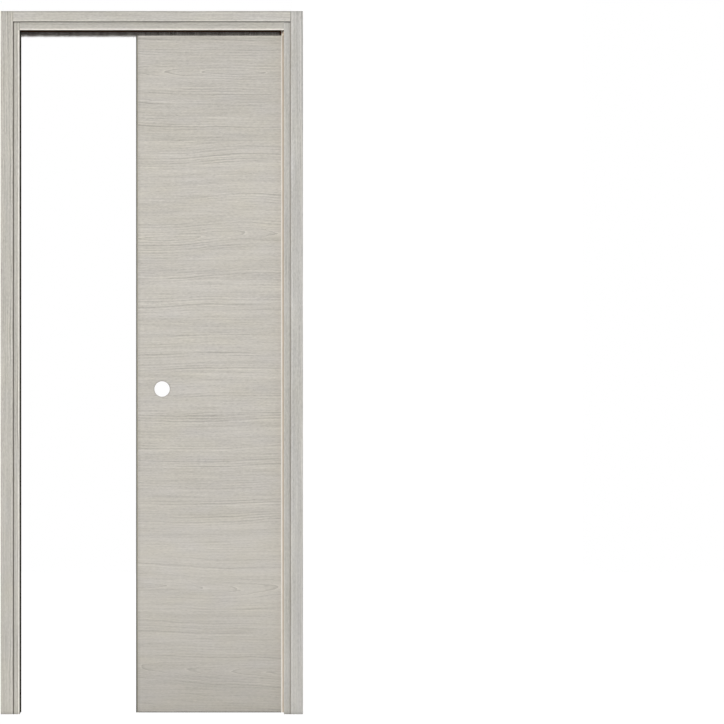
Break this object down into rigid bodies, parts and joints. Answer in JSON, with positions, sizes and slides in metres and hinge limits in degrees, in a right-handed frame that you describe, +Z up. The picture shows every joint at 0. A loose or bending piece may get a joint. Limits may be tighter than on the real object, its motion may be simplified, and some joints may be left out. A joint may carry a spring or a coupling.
{
  "type": "pocket door trim kit",
  "caption": "Sliding pocket door set: closing jamb, split jambs and head boards, casings on both wall faces, lips, head brushes, track and top hung leaf.",
  "frame": {"origin": "on the closing jamb's outer face, at floor level, in the middle of the wall's thickness", "axes": "+X from the closing jamb to the pocket, +Y to the back of the wall, +Z up"},
  "size_m": [1.687, 0.12, 2.0908],
  "materials": {
    "frame_laminate": "matt grey-washed laminate, grain upright",
    "head_laminate": "matt grey-washed laminate, grain level",
    "leaf_laminate": "matt grey-washed laminate, grain level",
    "raw_board": "bare sawn board",
    "closing_rubber": "matt dark brown rubber",
    "pocket_rubber": "matt tan rubber",
    "brush_plastic": "matt black-brown plastic",
    "brush_pile": "dense dark grey pile",
    "track_aluminium": "satin anodised",
    "stop_plastic": "matt grey plastic",
    "hanger_steel": "zinc plated",
    "wheel_nylon": "matt white nylon"
  },
  "bodies": {
    "frame": {"closing_jamb": "frame_laminate", "pocket_jamb_front": "frame_laminate", "pocket_jamb_back": "frame_laminate", "casing_front_closing": "frame_laminate", "casing_front_pocket": "frame_laminate", "casing_back_closing": "frame_laminate", "casing_back_pocket": "frame_laminate", "head_board_front": "head_laminate", "head_board_back": "head_laminate", "casing_front_head": "head_laminate", "casing_back_head": "head_laminate", "closing_lip_front": "closing_rubber", "closing_lip_back": "closing_rubber", "pocket_lip_front": "pocket_rubber", "pocket_lip_back": "pocket_rubber", "head_brush_carrier_front": "brush_plastic", "head_brush_carrier_back": "brush_plastic", "head_brush_pile_front": "brush_pile", "head_brush_pile_back": "brush_pile", "track": "track_aluminium", "track_stop_closing": "stop_plastic", "track_stop_pocket": "stop_plastic", "floor_guide": "stop_plastic"},
    "leaf": {"leaf_skin_front": "leaf_laminate", "leaf_skin_back": "leaf_laminate", "leaf_lead_edge": "leaf_laminate", "leaf_tail_edge": "leaf_laminate", "leaf_stile_lead": "raw_board", "leaf_stile_tail": "raw_board", "leaf_rail_top": "raw_board", "leaf_rail_bottom": "raw_board", "leaf_core": "raw_board", "hanger_lead_carriage": "hanger_steel", "hanger_lead_bolt": "hanger_steel", "hanger_lead_plate": "hanger_steel", "hanger_tail_carriage": "hanger_steel", "hanger_tail_bolt": "hanger_steel", "hanger_tail_plate": "hanger_steel", "hanger_lead_wheels": "wheel_nylon", "hanger_tail_wheels": "wheel_nylon"}
  },
  "joints": [
    {"name": "leaf_slide", "type": "slide", "parent": "frame", "child": "leaf", "axis": [1, 0, 0], "range_m": [-0.3555, 0.4395]}
  ]
}
